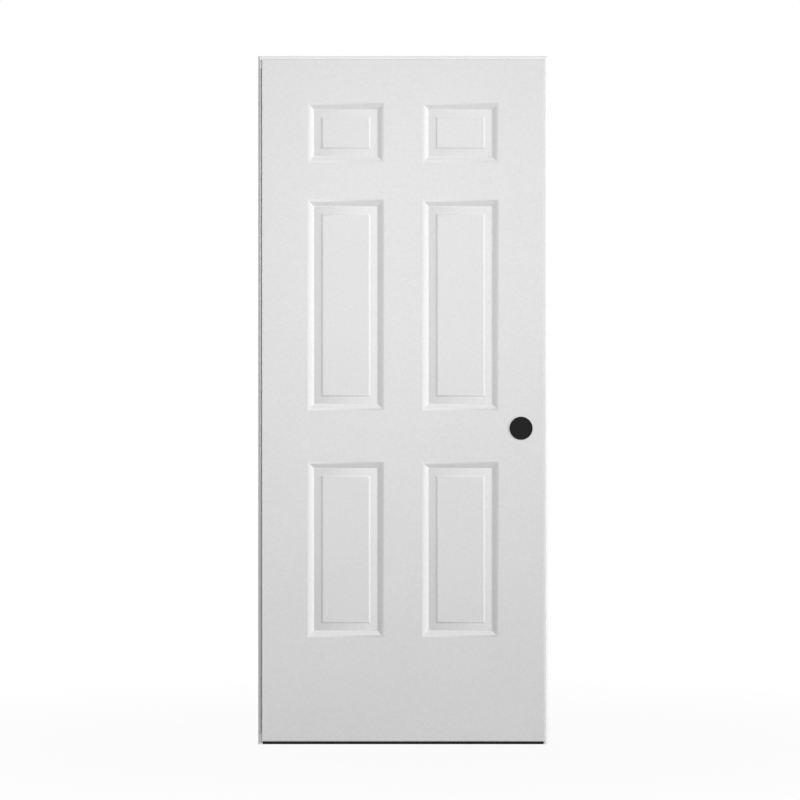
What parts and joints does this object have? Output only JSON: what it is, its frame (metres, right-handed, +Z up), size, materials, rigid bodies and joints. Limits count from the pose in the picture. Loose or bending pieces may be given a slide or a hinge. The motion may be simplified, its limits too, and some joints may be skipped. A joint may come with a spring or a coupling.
{
  "type": "panelled front door with frame",
  "caption": "White panelled steel front door leaf on a continuous hinge in a slim metal frame with dark sill, seals and a covered lock bore; the leaf swings outwards.",
  "frame": {"origin": "middle of the underside of the frame, halfway between the outermost face and the back of the frame", "axes": "+X to the lock side as seen from outside, +Y from outside to inside, +Z up"},
  "size_m": [0.813, 0.1174, 1.93],
  "materials": {
    "leaf_paint": "white satin primer paint",
    "frame_coat": "white powder coat",
    "sill_bronze": "dark bronze anodised",
    "hinge_steel": "zinc plated",
    "corner_alloy": "mill finish",
    "timber": "planed softwood",
    "foam": "closed-cell insulation foam",
    "seal_rubber": "matt black",
    "cover_plastic": "matt black moulded"
  },
  "bodies": {
    "frame": {"head": "frame_coat", "hinge_jamb": "frame_coat", "strike_jamb": "frame_coat", "sill": "sill_bronze", "corner_key_hinge": "corner_alloy", "corner_key_strike": "corner_alloy", "sill_screws": "hinge_steel", "seal_head": "seal_rubber", "seal_hinge": "seal_rubber", "seal_strike": "seal_rubber", "seal_sill": "seal_rubber", "hinge_frame_plate": "hinge_steel", "hinge_pin": "hinge_steel", "hinge_frame_screws": "hinge_steel"},
    "leaf": {"outer_skin": "leaf_paint", "inner_skin": "leaf_paint", "hinge_stile": "timber", "lock_stile": "timber", "top_rail": "timber", "bottom_rail": "timber", "lock_block": "timber", "foam_core": "foam", "hinge_leaf_plate": "hinge_steel", "hinge_leaf_screws": "hinge_steel", "bore_cover_outer": "cover_plastic", "bore_cover_inner": "cover_plastic", "bore_cover_screws": "hinge_steel"}
  },
  "joints": [
    {"name": "leaf_swing", "type": "hinge", "parent": "frame", "child": "leaf", "pos_m": [-0.4006, -0.04905, 0.965], "axis": [0, 0, -1], "range_deg": [0, 120]}
  ]
}
